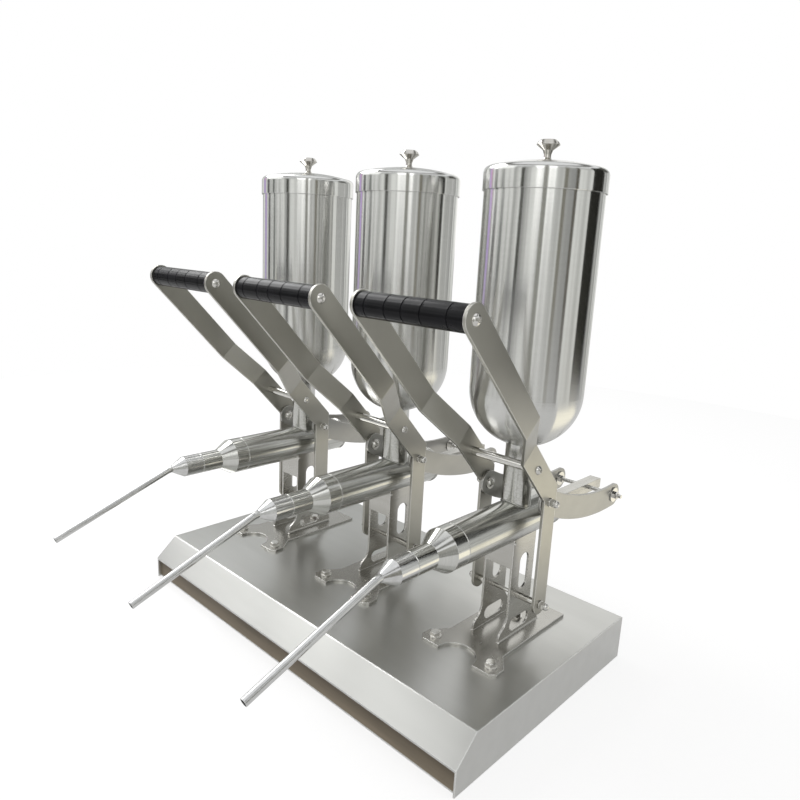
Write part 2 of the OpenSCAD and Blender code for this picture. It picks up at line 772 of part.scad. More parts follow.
module lever_side() {
    front_z = elbow_z + (shank_w / 2 * cos(arm_angle) - arm_w / 2) / sin(arm_angle);
    rear_z = elbow_z - (shank_w / 2 * cos(arm_angle) - arm_w / 2) / sin(arm_angle);
    along = [-sin(arm_angle), cos(arm_angle)];
    across = [cos(arm_angle), sin(arm_angle)];
    flat_end = fold_low - 2 * (fold_r + lever_t) * tan(fold_turn / 2);
    elbow = [0, elbow_z];
    mid = lever_t / 2;
    difference() {
        union() {
            plate_x(lever_x, lever_t) {
                translate([0, pivot_z]) circle(r = shank_w / 2);
                polygon([
                    [-shank_w / 2, pivot_z], [shank_w / 2, pivot_z], [shank_w / 2, rear_z],
                    elbow + flat_end * along + arm_w / 2 * across,
                    elbow + flat_end * along - arm_w / 2 * across, [-shank_w / 2, front_z]
                ]);
            }
            arm_frame() intersection() {
                rotate([90, 0, 0]) translate([0, 0, -arm_w / 2]) linear_extrude(arm_w)
                    bent_strip([
                        [lever_x + mid, stop_reach], [lever_x + mid, fold_low],
                        [arm_x + mid, fold_high], [arm_x + mid, grip_reach + arm_w]
                    ], lever_t, fold_r);
                plate_x(lever_x - over, arm_x - lever_x + lever_t + 2 * over) {
                    translate([-arm_w / 2, 0]) square([arm_w, grip_reach]);
                    translate([0, grip_reach]) circle(r = arm_w / 2);
                }
            }
        }
        translate([0, 0, pivot_z]) rod_x(lever_x - over, lever_t + 2 * over, pin_r + pin_clear);
        translate([0, 0, link_pin_z])
            rod_x(lever_x - over, lever_t + 2 * over, pin_r + bolt_clear);
        arm_frame() {
            translate([0, 0, stop_reach])
                rod_x(lever_x - over, lever_t + 2 * over, small_r + bolt_clear);
            translate([0, 0, grip_reach])
                rod_x(arm_x - over, lever_t + 2 * over, bolt_r + bolt_clear);
        }
    }
}

module lever_right() color([0.62, 0.6, 0.57]) lever_side();

module lever_left() color([0.5, 0.48, 0.44]) mirror([1, 0, 0]) lever_side();

module grip() color([0.05, 0.05, 0.06]) arm_frame() translate([0, 0, grip_reach]) {
    l = 2 * (arm_x - side_gap);
    translate([-l / 2, 0, 0]) rotate([0, 90, 0]) rotate_extrude() difference() {
        translate([bolt_r + bolt_clear, 0]) polygon([
            [0, 0], [grip_r - bolt_r - bolt_clear - joint_chamfer, 0],
            [grip_r - bolt_r - bolt_clear, joint_chamfer],
            [grip_r - bolt_r - bolt_clear, l - joint_chamfer],
            [grip_r - bolt_r - bolt_clear - joint_chamfer, l], [0, l]
        ]);
        for (s = grip_groove_shares)
            translate([grip_r - grip_groove, s * l - grip_groove_w / 2])
                square([grip_groove + over, grip_groove_w]);
    }
}

module grip_rod() color([0.75, 0.75, 0.74]) arm_frame() translate([0, 0, grip_reach]) {
    end = arm_x + lever_t;
    rod_x(-end - button_h / 4, 2 * end + button_h / 2, bolt_r);
    both_sides() translate([end, 0, 0]) rotate([0, 90, 0])
        button_head(button_r, button_h, socket_af, socket_d);
}

module stop_rod() color([0.74, 0.74, 0.73]) arm_frame() translate([0, 0, stop_reach]) {
    end = lever_x + lever_t;
    rod_x(-lever_x, 2 * lever_x, stop_r);
    rod_x(-end - button_h / 4, 2 * end + button_h / 2, small_r);
    both_sides() translate([end, 0, 0]) rotate([0, 90, 0])
        button_head(stop_r, button_h, socket_af, socket_d);
}

module link_pins() color([0.68, 0.68, 0.67]) both_sides() translate([0, 0, link_pin_z]) {
    inner = link_x - side_gap;
    outer = lever_x + lever_t;
    rod_x(inner - washer_t, outer + washer_t + pin_nut_h - inner, pin_r);
    cap_nut_x(outer);
    rod_x(inner - washer_t, washer_t, inner_washer_r);
    translate([inner - washer_t, 0, 0]) rotate([0, -90, 0])
        button_head(button_r, button_h, socket_af, socket_d);
}

module pivot() color([0.68, 0.68, 0.67]) translate([0, 0, pivot_z]) {
    outer = lever_x + lever_t + side_gap;
    rod_x(-outer - pin_nut_h, 2 * (outer + pin_nut_h), pin_r);
    both_sides() {
        rod_x(bracket_x, lever_x - side_gap - bracket_x, sleeve_r);
        cap_nut_x(outer);
    }
}

// Bracket

// Curve of a toe that reaches w past the side plate's edge: distance past the edge and
// height above the toe's upright end, from the top down
function toe(w) =
    let (r = w / (1 - cos(toe_angle)), r1 = toe_shares[0] * r, r2 = toe_shares[1] * r)
    [
        each arc([r1, r * sin(toe_angle)], r1, 180, 180 + toe_angle),
        each arc([w - r2, 0], r2, toe_angle, 0)
    ];

module side_plate_2d() {
    rear = toe(toe_rear);
    front = toe(toe_front);
    difference() {
        polygon([
            [-bracket_front - toe_front, foot_z],
            for (i = [len(front) - 1:-1:0])
                [-bracket_front - front[i][0], foot_z + toe_h + front[i][1]],
            [-bracket_front, axis_z], [bracket_rear, axis_z],
            for (p = rear) [bracket_rear + p[0], foot_z + toe_h + p[1]],
            [bracket_rear + toe_rear, foot_z]
        ]);
        translate([0, pivot_z + slot_rise]) rotate(90) slot_2d(slot_l, slot_w);
        translate([0, pivot_z - low_slot_drop]) slot_2d(low_slot_l, low_slot_w);
        translate([0, pivot_z]) circle(r = pin_r + bolt_clear);
    }
}

// Height of the screws in the web's edges, whose shanks pass just under the barrel
web_screw_x = bracket_x - web_screw_len;
web_screw_z = axis_z - sqrt(pow(barrel_r, 2) - pow(web_screw_x, 2)) - web_screw_r - side_gap;

// Bolt places in the foot plate
foot_bolts = [
    [ear_w / 2 - ear_inset, -ear_front + ear_inset],
    [-ear_w / 2 + ear_inset, -ear_front + ear_inset],
    [0, rear_bolt_y]
];

module foot_holes(drop) for (p = foot_bolts)
    translate([p[0], p[1], base_h + drop - over])
        cylinder(h = foot_t - drop + 2 * over, r = bolt_r + bolt_clear);

module foot_2d() difference() {
    polygon([
        [-foot_w / 2, foot_rear], [foot_w / 2, foot_rear],
        [foot_w / 2, -ear_front + ear_chamfer + ear_side + ear_shoulder],
        [ear_w / 2, -ear_front + ear_chamfer + ear_side], [ear_w / 2, -ear_front + ear_chamfer],
        [ear_w / 2 - ear_chamfer, -ear_front], [-ear_w / 2 + ear_chamfer, -ear_front],
        [-ear_w / 2, -ear_front + ear_chamfer],
        [-ear_w / 2, -ear_front + ear_chamfer + ear_side],
        [-foot_w / 2, -ear_front + ear_chamfer + ear_side + ear_shoulder]
    ]);
    translate([0, -ear_front]) circle(r = scallop_r);
}

module bracket() color([0.6, 0.59, 0.56]) difference() {
    union() {
        translate([0, 0, base_h]) linear_extrude(foot_t) foot_2d();
        both_sides() {
            plate_x(bracket_x - bracket_t, bracket_t) side_plate_2d();
            translate([bracket_x, bracket_rear + toe_rear, foot_z]) rotate([90, 0, 0])
                linear_extrude(bracket_front + bracket_rear + toe_front + toe_rear)
                    difference() {
                        square(weld_r);
                        translate([weld_r, weld_r]) circle(r = weld_r);
                    }
        }
        translate([-bracket_x, -bracket_front, foot_z + web_rise])
            cube([bracket_w, bracket_t, axis_z - foot_z - web_rise]);
    }
    turned(-barrel_rear) square([barrel_r + spigot_clear, barrel_rear + cap_joint]);
    foot_holes(0);
    both_sides() web_screw(web_screw_r, spigot_clear, over);
}

// Shank of a screw that runs through the side plate into the web's edge, or with a gap
// round it and an overrun outwards the hole for it
module web_screw(r, gap, extra)
    translate([0, -bracket_front + bracket_t / 2, web_screw_z])
        rod_x(web_screw_x - gap, web_screw_len + gap + extra, r + gap);

module bracket_bolts() color([0.55, 0.55, 0.54]) {
    drop = base_t + nut_h + bolt_r / 2;
    for (p = foot_bolts) translate([p[0], p[1], foot_z]) {
        cylinder(h = washer_t, r = washer_r);
        translate([0, 0, washer_t]) hex_nut(nut_af, nut_h * 0.85);
        translate([0, 0, -foot_t - drop]) cylinder(h = foot_t + drop + washer_t, r = bolt_r);
        translate([0, 0, -foot_t - base_t]) mirror([0, 0, 1]) hex_nut(nut_af, nut_h);
    }
    both_sides() {
        web_screw(web_screw_r, 0, 0);
        translate([bracket_x, -bracket_front + bracket_t / 2, web_screw_z]) rotate([0, 90, 0])
            rotate_extrude() intersection() {
                circle(r = web_head_r);
                square(web_head_r);
            }
    }
}

// The row
base_shell();
base_front();
base_plate();
head(1) hopper();  // hopper_1
head(1) lid();  // lid_1
head(1) knob();  // knob_1
head(1) barrel();  // barrel_1
head(1) front_cap();  // front_cap_1
head(1) nozzle();  // nozzle_1
head(1) piston();  // piston_1
head(1) seals();  // seals_1
head(1) links();  // links_1
head(1) rear_pin();  // rear_pin_1
head(1) lever_left();  // lever_left_1
head(1) lever_right();  // lever_right_1
head(1) grip();  // grip_1
head(1) grip_rod();  // grip_rod_1
head(1) stop_rod();  // stop_rod_1
head(1) link_pins();  // link_pins_1
head(1) pivot();  // pivot_1
head(1) bracket();  // bracket_1
head(1) bracket_bolts();  // bracket_bolts_1
head(2) hopper();  // hopper_2
head(2) lid();  // lid_2
head(2) knob();  // knob_2
head(2) barrel();  // barrel_2
head(2) front_cap();  // front_cap_2
head(2) nozzle();  // nozzle_2
head(2) piston();  // piston_2
head(2) seals();  // seals_2
head(2) links();  // links_2
head(2) rear_pin();  // rear_pin_2
head(2) lever_left();  // lever_left_2
head(2) lever_right();  // lever_right_2
head(2) grip();  // grip_2
head(2) grip_rod();  // grip_rod_2
head(2) stop_rod();  // stop_rod_2
head(2) link_pins();  // link_pins_2
head(2) pivot();  // pivot_2
head(2) bracket();  // bracket_2
head(2) bracket_bolts();  // bracket_bolts_2
head(3) hopper();  // hopper_3
head(3) lid();  // lid_3
head(3) knob();  // knob_3
head(3) barrel();  // barrel_3
head(3) front_cap();  // front_cap_3
head(3) nozzle();  // nozzle_3
head(3) piston();  // piston_3
head(3) seals();  // seals_3
head(3) links();  // links_3
head(3) rear_pin();  // rear_pin_3
head(3) lever_left();  // lever_left_3
head(3) lever_right();  // lever_right_3
head(3) grip();  // grip_3
head(3) grip_rod();  // grip_rod_3
head(3) stop_rod();  // stop_rod_3
head(3) link_pins();  // link_pins_3
head(3) pivot();  // pivot_3
head(3) bracket();  // bracket_3
head(3) bracket_bolts();  // bracket_bolts_3
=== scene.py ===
import math
import bmesh
import bpy
from mathutils import Matrix, Vector


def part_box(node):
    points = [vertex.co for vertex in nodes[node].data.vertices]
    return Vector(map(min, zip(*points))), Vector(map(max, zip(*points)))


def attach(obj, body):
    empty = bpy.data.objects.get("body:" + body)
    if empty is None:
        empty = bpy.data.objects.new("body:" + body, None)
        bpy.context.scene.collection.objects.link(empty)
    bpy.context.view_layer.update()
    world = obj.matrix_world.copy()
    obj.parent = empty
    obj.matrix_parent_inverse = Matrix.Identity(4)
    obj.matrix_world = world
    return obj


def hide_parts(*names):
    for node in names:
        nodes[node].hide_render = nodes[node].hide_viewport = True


bpy.context.scene.view_settings.view_transform = "Standard"
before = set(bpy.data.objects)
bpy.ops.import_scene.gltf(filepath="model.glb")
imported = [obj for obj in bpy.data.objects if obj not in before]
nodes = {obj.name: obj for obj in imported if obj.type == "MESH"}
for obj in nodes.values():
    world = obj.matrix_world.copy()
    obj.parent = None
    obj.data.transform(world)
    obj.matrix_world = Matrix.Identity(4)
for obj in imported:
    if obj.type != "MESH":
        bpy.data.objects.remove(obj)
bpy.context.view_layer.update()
heads = (1, 2, 3)  # from the user's left
print("frame loaded,", len(nodes), "nodes")


# small helpers for objects and node trees

def addObject(name, data):
    thing = bpy.data.objects.new(name, data)
    bpy.context.scene.collection.objects.link(thing)
    return thing


def addNode(tree, kind, **settings):
    node = tree.nodes.new(kind)
    for name, value in settings.items():
        setattr(node, name, value)
    return node


def join(tree, start, end):
    tree.links.new(start, end)


def feed(tree, value, socket):  # plain values are set, outputs are joined
    if isinstance(value, (int, float, tuple)):
        socket.default_value = value
    else:
        join(tree, value, socket)


def opaque(colour):
    return colour + (1,)


def mathNode(tree, operation, *values):
    node = addNode(tree, "ShaderNodeMath", operation=operation)
    for value, socket in zip(values, node.inputs):
        feed(tree, value, socket)
    return node.outputs[0]


def mapRange(tree, value, fromLow, fromHigh, toLow=0.0, toHigh=1.0):
    node = addNode(tree, "ShaderNodeMapRange", clamp=True)
    join(tree, value, node.inputs["Value"])
    node.inputs["From Min"].default_value = fromLow
    node.inputs["From Max"].default_value = fromHigh
    node.inputs["To Min"].default_value = toLow
    node.inputs["To Max"].default_value = toHigh
    return node.outputs["Result"]


def mixColours(tree, factor, first, second):
    node = addNode(tree, "ShaderNodeMix", data_type="RGBA")
    feed(tree, factor, node.inputs[0])
    for value, index in ((first, 6), (second, 7)):  # the colour sockets A and B
        feed(tree, opaque(value) if isinstance(value, tuple) else value, node.inputs[index])
    return node.outputs[2]


def mixShaders(tree, factor, first, second):
    node = addNode(tree, "ShaderNodeMixShader")
    for value, socket in zip((factor, first, second), node.inputs):
        join(tree, value, socket)
    return node.outputs[0]


def partsOf(tree, vector):
    node = addNode(tree, "ShaderNodeSeparateXYZ")
    join(tree, vector, node.inputs[0])
    return node.outputs


def dotProduct(tree, first, second):
    node = addNode(tree, "ShaderNodeVectorMath", operation="DOT_PRODUCT")
    join(tree, first, node.inputs[0])
    join(tree, second, node.inputs[1])
    return node.outputs["Value"]


# camera, matched to the photograph

viewpoint = {
    "place": (0.70859, -0.75684, 0.59813),
    "turn": 43.18,
    "tilt": -12.74,
    "roll": 2.83,
    "lens": 30.31,
    "sensorWidth": 36,
    "shift": (0.0040, -0.0058),
    "nearLimit": 0.01,
}


def placeCamera():
    turn, tilt, roll = (math.radians(viewpoint[angle]) for angle in ("turn", "tilt", "roll"))
    ahead = Vector((-math.sin(turn) * math.cos(tilt), math.cos(turn) * math.cos(tilt), math.sin(tilt)))
    side = ahead.cross(Vector((0, 0, 1))).normalized()
    above = side.cross(ahead)
    right = side * math.cos(roll) + above * math.sin(roll)
    up = above * math.cos(roll) - side * math.sin(roll)
    data = bpy.data.cameras.new("camera")
    data.lens = viewpoint["lens"]
    data.sensor_width = viewpoint["sensorWidth"]
    data.sensor_fit = "HORIZONTAL"
    data.shift_x, data.shift_y = viewpoint["shift"]
    data.clip_start = viewpoint["nearLimit"]
    camera = addObject("camera", data)
    place = Matrix((right, up, -ahead)).transposed().to_4x4()
    place.translation = Vector(viewpoint["place"])
    camera.matrix_world = place
    bpy.context.scene.camera = camera


placeCamera()
print("camera placed")


# the room: white to the camera, plain soft light on the object, tones and upright bands in the steel

room = {
    "skyLevel": 0.62,
    "floorTone": (0.70, 0.70, 0.67),
    "horizonTone": (0.88, 0.89, 0.87),
    "wallTone": (0.66, 0.67, 0.66),
    "topTone": (1.00, 1.01, 1.03),
    "darkTone": (0.22, 0.22, 0.21),
    "bandScale": 2.6,
    "bandDetail": 4.0,
    "bandRoughness": 0.62,
    "bandSpan": (0.40, 0.60),  # the part of the noise that the bands use
    "bandLevels": (0.42, 1.12),  # darkest and lightest band
    "bandFade": (0.18, 0.42),  # how high the bands begin to fade, and where they end
}

# where each tone lies in the mirrored room, from straight below at 0 to straight above at 1
roomStops = (
    (0.00, "floorTone"), (0.42, "floorTone"),
    (0.50, "horizonTone"), (0.56, "horizonTone"),
    (0.62, "wallTone"), (0.75, "wallTone"),
    (0.80, "topTone"), (0.83, "topTone"),
    (0.86, "darkTone"), (0.90, "darkTone"),
    (0.93, "topTone"),
)


def addBackground(tree, colour, strength=1.0):
    node = addNode(tree, "ShaderNodeBackground")
    feed(tree, colour, node.inputs["Color"])
    node.inputs["Strength"].default_value = strength
    return node.outputs[0]


def buildWorld():
    world = bpy.data.worlds.new("studio")
    bpy.context.scene.world = world
    world.use_nodes = True
    tree = world.node_tree
    tree.nodes.clear()
    paths = addNode(tree, "ShaderNodeLightPath")
    direction = partsOf(tree, addNode(tree, "ShaderNodeTexCoord").outputs["Generated"])
    ramp = addNode(tree, "ShaderNodeValToRGB")
    ramp.color_ramp.interpolation = "EASE"
    while len(ramp.color_ramp.elements) < len(roomStops):
        ramp.color_ramp.elements.new(0.5)  # placed below
    for element, (place, tone) in zip(ramp.color_ramp.elements, roomStops):
        element.position = place
        element.color = opaque(room[tone])
    join(tree, mapRange(tree, direction["Z"], -1, 1), ramp.inputs[0])
    bands = addNode(tree, "ShaderNodeTexNoise", noise_dimensions="1D")
    join(tree, mathNode(tree, "ARCTAN2", direction["Y"], direction["X"]), bands.inputs["W"])
    bands.inputs["Scale"].default_value = room["bandScale"]
    bands.inputs["Detail"].default_value = room["bandDetail"]
    bands.inputs["Roughness"].default_value = room["bandRoughness"]
    banded = mapRange(tree, bands.outputs[0], *room["bandSpan"], *room["bandLevels"])
    fade = mapRange(tree, mathNode(tree, "ABSOLUTE", direction["Z"]), *room["bandFade"])
    evened = mathNode(tree, "MULTIPLY_ADD", fade, mathNode(tree, "SUBTRACT", 1.0, banded), banded)
    mirrored = addNode(tree, "ShaderNodeVectorMath", operation="SCALE")
    join(tree, ramp.outputs["Color"], mirrored.inputs[0])
    join(tree, evened, mirrored.inputs["Scale"])
    softLight = addBackground(tree, opaque((1, 1, 1)), room["skyLevel"])
    inSteel = addBackground(tree, mirrored.outputs[0])
    toCamera = addBackground(tree, opaque((1, 1, 1)))
    unseen = mixShaders(tree, paths.outputs["Is Glossy Ray"], softLight, inSteel)
    seen = mixShaders(tree, paths.outputs["Is Camera Ray"], unseen, toCamera)
    join(tree, seen, addNode(tree, "ShaderNodeOutputWorld").inputs[0])


def stageMaterial(name):
    material = bpy.data.materials.new(name)
    material.use_nodes = True
    material.node_tree.nodes.clear()
    return material, material.node_tree


paperFloor = {
    "radius": 2.2,
    "sides": 64,
    "level": -0.0004,
    "paper": (0.80, 0.80, 0.79),  # throws light back on the object
    "shade": (0.34, 0.34, 0.34),  # what the camera and the steel see: it takes the shadows, and glows
    "glow": 0.74,
    "glowMirrored": 0.46,
}


def buildFloor():
    look = paperFloor
    radius = look["radius"]
    turns = [2 * math.pi * side / look["sides"] for side in range(look["sides"])]
    rim = [(radius * math.cos(turn), radius * math.sin(turn), look["level"]) for turn in turns]
    mesh = bpy.data.meshes.new("floor")
    mesh.from_pydata(rim, [], [tuple(range(look["sides"]))])
    floor = addObject("floor", mesh)
    material, tree = stageMaterial("palePaper")
    paths = addNode(tree, "ShaderNodeLightPath").outputs
    paper = addNode(tree, "ShaderNodeBsdfDiffuse")
    paper.inputs["Color"].default_value = opaque(look["paper"])
    shade = addNode(tree, "ShaderNodeBsdfDiffuse")
    shade.inputs["Color"].default_value = opaque(look["shade"])
    lit = addNode(tree, "ShaderNodeEmission")
    glow = mapRange(tree, paths["Is Camera Ray"], 0, 1, look["glowMirrored"], look["glow"])
    join(tree, glow, lit.inputs["Strength"])
    glowing = addNode(tree, "ShaderNodeAddShader")
    join(tree, shade.outputs[0], glowing.inputs[0])
    join(tree, lit.outputs[0], glowing.inputs[1])
    looking = mathNode(tree, "MAXIMUM", paths["Is Camera Ray"], paths["Is Glossy Ray"])
    seen = mixShaders(tree, looking, paper.outputs[0], glowing.outputs[0])
    join(tree, seen, addNode(tree, "ShaderNodeOutputMaterial").inputs[0])
    mesh.materials.append(material)


lamps = {
    "softLamp": dict(place=(-1.45, -0.20, 1.72), aim=(-0.53, -0.20, 0.0), size=(1.3, 1.1), power=20),
    "fillLamp": dict(place=(1.5, -2.0, 1.6), aim=(0.0, -0.1, 0.2), size=(1.6, 1.6), power=10),
}


def buildLamp(name, place, aim, size, power):
    data = bpy.data.lights.new(name, "AREA")
    data.shape = "RECTANGLE"
    data.size, data.size_y = size
    data.energy = power
    lamp = addObject(name, data)
    lamp.location = place
    lamp.rotation_euler = (Vector(aim) - Vector(place)).to_track_quat("-Z", "Y").to_euler()


# cards that only the steel sees; each upright one: from, to (plan view), foot, top, colour
uprightCards = {
    "doorCard": ((0.555, 0.160), (0.417, 0.284), 0.37, 0.90, (0.020, 0.020, 0.017)),
    "highCard": ((0.95, 1.22), (0.20, 1.42), 1.00, 1.60, (0.10, 0.10, 0.09)),
    "standCard": ((0.80, -1.02), (0.93, -0.92), 0.0, 1.7, (0.30, 0.30, 0.27)),
    "darkPost": ((-0.36, -3.0), (-0.02, -3.0), -0.6, 1.4, (0.03, 0.03, 0.02)),
    "greyPostFar": ((-2.2, -1.95), (-1.98, -2.25), -0.6, 1.3, (0.10, 0.11, 0.10)),
    "greyPostNear": ((-2.78, -1.1), (-2.60, -1.5), -0.6, 1.9, (0.03, 0.03, 0.03)),
    "wallCard": ((-2.8, 0.75), (-2.1, 2.1), -0.6, 1.0, (0.20, 0.20, 0.19)),
    "backWindow": ((-1.6, 2.2), (-0.5, 2.6), 0.55, 2.3, (1.08, 1.08, 1.06)),
    "lilacCard": ((-2.90, -0.62), (-2.98, -0.18), 0.30, 1.6, (0.58, 0.45, 0.84)),
    "pinkCard": ((-2.88, -0.64), (-2.92, -0.36), 0.99, 1.3, (0.90, 0.45, 0.54)),
    "warmPost": ((2.75, -1.15), (2.88, -0.85), -0.6, 2.0, (0.22, 0.21, 0.17)),
    "brownPost": ((2.95, -0.12), (2.95, 0.16), -0.6, 2.0, (0.08, 0.07, 0.05)),
    "brightWindow": ((-2.6, -0.7), (-1.0, -2.5), 1.05, 2.6, (1.36, 1.37, 1.36)),
}

# each card that lies just above the floor: near corner, far corner, height, colour
layingCards = {
    "floorSheen": ((0.50, 0.16), (1.1, 1.0), 0.0002, (1.38, 1.32, 1.13)),
}


def buildCard(name, corners, colour):
    mesh = bpy.data.meshes.new(name)
    mesh.from_pydata(corners, [], [(0, 1, 2, 3)])
    card = addObject(name, mesh)
    material, tree = stageMaterial(name)
    face = addNode(tree, "ShaderNodeEmission")
    face.inputs["Color"].default_value = opaque(colour)
    join(tree, face.outputs[0], addNode(tree, "ShaderNodeOutputMaterial").inputs[0])
    mesh.materials.append(material)
    card.visible_camera = False
    card.visible_diffuse = False
    card.visible_shadow = False
    card.visible_transmission = False
    card.visible_volume_scatter = False


buildWorld()
buildFloor()
for name, lamp in lamps.items():
    buildLamp(name, **lamp)
for name, (start, end, foot, top, colour) in uprightCards.items():
    buildCard(name, [(*start, foot), (*end, foot), (*end, top), (*start, top)], colour)
for name, (near, far, height, colour) in layingCards.items():
    corners = [near, (far[0], near[1]), far, (near[0], far[1])]
    buildCard(name, [(*corner, height) for corner in corners], colour)
print("studio built")


# surface effects that several finishes share

def newGroup(name, inputs, outputs):
    group = bpy.data.node_groups.new(name, "ShaderNodeTree")
    for socketName, kind, value in inputs:
        socket = group.interface.new_socket(socketName, in_out="INPUT", socket_type=kind)
        if value is not None:
            socket.default_value = value
    for socketName, kind in outputs:
        group.interface.new_socket(socketName, in_out="OUTPUT", socket_type=kind)
    start = addNode(group, "NodeGroupInput")
    end = addNode(group, "NodeGroupOutput")
    return group, start.outputs, end.inputs


def noise(tree, vector, scale, detail, roughness=0.55, distortion=0.0):
    node = addNode(tree, "ShaderNodeTexNoise")
    join(tree, vector, node.inputs["Vector"])
    feed(tree, scale, node.inputs["Scale"])
    node.inputs["Detail"].default_value = detail
    node.inputs["Roughness"].default_value = roughness
    node.inputs["Distortion"].default_value = distortion
    return node.outputs[0]


def stretched(tree, vector, stretch):
    node = addNode(tree, "ShaderNodeVectorMath", operation="MULTIPLY")
    join(tree, vector, node.inputs[0])
    feed(tree, stretch, node.inputs[1])
    return node.outputs[0]


grainLook = {
    "streak": dict(scale=1.0, detail=2.0, roughness=0.5),
    "streakSpan": (0.32, 0.68),
    "hairline": dict(scale=5.5, detail=4.0, roughness=0.7),
    "hairlineSpan": (0.30, 0.70),
}


def makeBrushGrain():
    group, given, made = newGroup(
        "brushGrain",
        [("Vector", "NodeSocketVector", None), ("Stretch", "NodeSocketVector", (1, 1, 1))],
        [("Streak", "NodeSocketFloat"), ("Hairline", "NodeSocketFloat")],
    )
    along = stretched(group, given["Vector"], given["Stretch"])
    streak = noise(group, along, **grainLook["streak"])
    hairline = noise(group, along, **grainLook["hairline"])
    join(group, mapRange(group, streak, *grainLook["streakSpan"]), made["Streak"])
    join(group, mapRange(group, hairline, *grainLook["hairlineSpan"]), made["Hairline"])
    return group


edgeWearAndHighlightLook = {
    "samples": 4,
    "roundedSpan": (0.997, 0.90),  # cosine of the rounding, where the worn edge with its painted highlight begins and where it is full
    "patches": dict(scale=60.0, detail=1.0),
    "patchSpan": (0.35, 0.62),
    "patchLevels": (0.75, 1.0),
}


# wear and a painted highlight along every edge: a mask from the rounded normals, uneven in patches
def makeEdgeWearAndHighlight():
    group, given, made = newGroup(
        "edgeWearAndHighlight",
        [("Vector", "NodeSocketVector", None), ("Radius", "NodeSocketFloat", 0.001)],
        [("Edge", "NodeSocketFloat"), ("Normal", "NodeSocketVector")],
    )
    rounded = addNode(group, "ShaderNodeBevel", samples=edgeWearAndHighlightLook["samples"])
    join(group, given["Radius"], rounded.inputs["Radius"])
    flat = addNode(group, "ShaderNodeNewGeometry")
    facing = dotProduct(group, rounded.outputs[0], flat.outputs["Normal"])
    edgeShare = mapRange(group, facing, *edgeWearAndHighlightLook["roundedSpan"])
    patches = noise(group, given["Vector"], **edgeWearAndHighlightLook["patches"])
    uneven = mapRange(group, patches, *edgeWearAndHighlightLook["patchSpan"], *edgeWearAndHighlightLook["patchLevels"])
    join(group, mathNode(group, "MULTIPLY", edgeShare, uneven), made["Edge"])
    join(group, rounded.outputs[0], made["Normal"])
    return group


handlingLook = {
    "cloud": dict(detail=4.0, roughness=0.6, distortion=0.6),
    "cloudSpan": (0.42, 0.66),
    "strokes": ((0.5, (14, 320, 320)), (-0.9, (300, 12, 300)), (1.9, (340, 340, 16))),  # turn, stretch
    "turnShares": (1.0, 0.7, 1.3),
    "strokeNoise": dict(scale=1.0, detail=1.0),
    "strokeSpan": (0.72, 0.78),
}


def makeHandling():
    group, given, made = newGroup(
        "handling",
        [("Vector", "NodeSocketVector", None), ("Scale", "NodeSocketFloat", 10.0)],
        [("Smudge", "NodeSocketFloat"), ("Scratch", "NodeSocketFloat")],
    )
    cloud = noise(group, given["Vector"], given["Scale"], **handlingLook["cloud"])
    join(group, mapRange(group, cloud, *handlingLook["cloudSpan"]), made["Smudge"])
    strokes = []
    for turn, stretch in handlingLook["strokes"]:
        spin = addNode(group, "ShaderNodeVectorRotate", rotation_type="EULER_XYZ")
        join(group, given["Vector"], spin.inputs["Vector"])
        spin.inputs["Rotation"].default_value = [turn * share for share in handlingLook["turnShares"]]
        drawn = noise(group, stretched(group, spin.outputs[0], stretch), **handlingLook["strokeNoise"])
        strokes.append(mapRange(group, drawn, *handlingLook["strokeSpan"]))
    both = mathNode(group, "MAXIMUM", strokes[0], strokes[1])
    join(group, mathNode(group, "MAXIMUM", both, strokes[2]), made["Scratch"])
    return group


brushGrain = makeBrushGrain()
edgeWearAndHighlight = makeEdgeWearAndHighlight()
handling = makeHandling()


def groupNode(tree, group, **values):
    node = addNode(tree, "ShaderNodeGroup")
    node.node_tree = group
    for name, value in values.items():
        feed(tree, value, node.inputs[name])
    return node.outputs


def startFinish(name, look):
    material = bpy.data.materials.new(name)
    material.use_nodes = True
    tree = material.node_tree
    place = addNode(tree, "ShaderNodeTexCoord").outputs["Object"]
    grain = groupNode(tree, brushGrain, Vector=place, Stretch=look["stretch"])
    wearAndHighlight = groupNode(tree, edgeWearAndHighlight, Vector=place, Radius=look["edge"])
    use = groupNode(tree, handling, Vector=place, Scale=look["smudge"])
    return material, tree, tree.nodes["Principled BSDF"], place, grain, wearAndHighlight, use


def addRelief(tree, shader, height, normal, depth):
    relief = addNode(tree, "ShaderNodeBump")
    relief.inputs["Strength"].default_value = 1.0
    relief.inputs["Distance"].default_value = depth
    join(tree, height, relief.inputs["Height"])
    join(tree, normal, relief.inputs["Normal"])
    join(tree, relief.outputs[0], shader.inputs["Normal"])
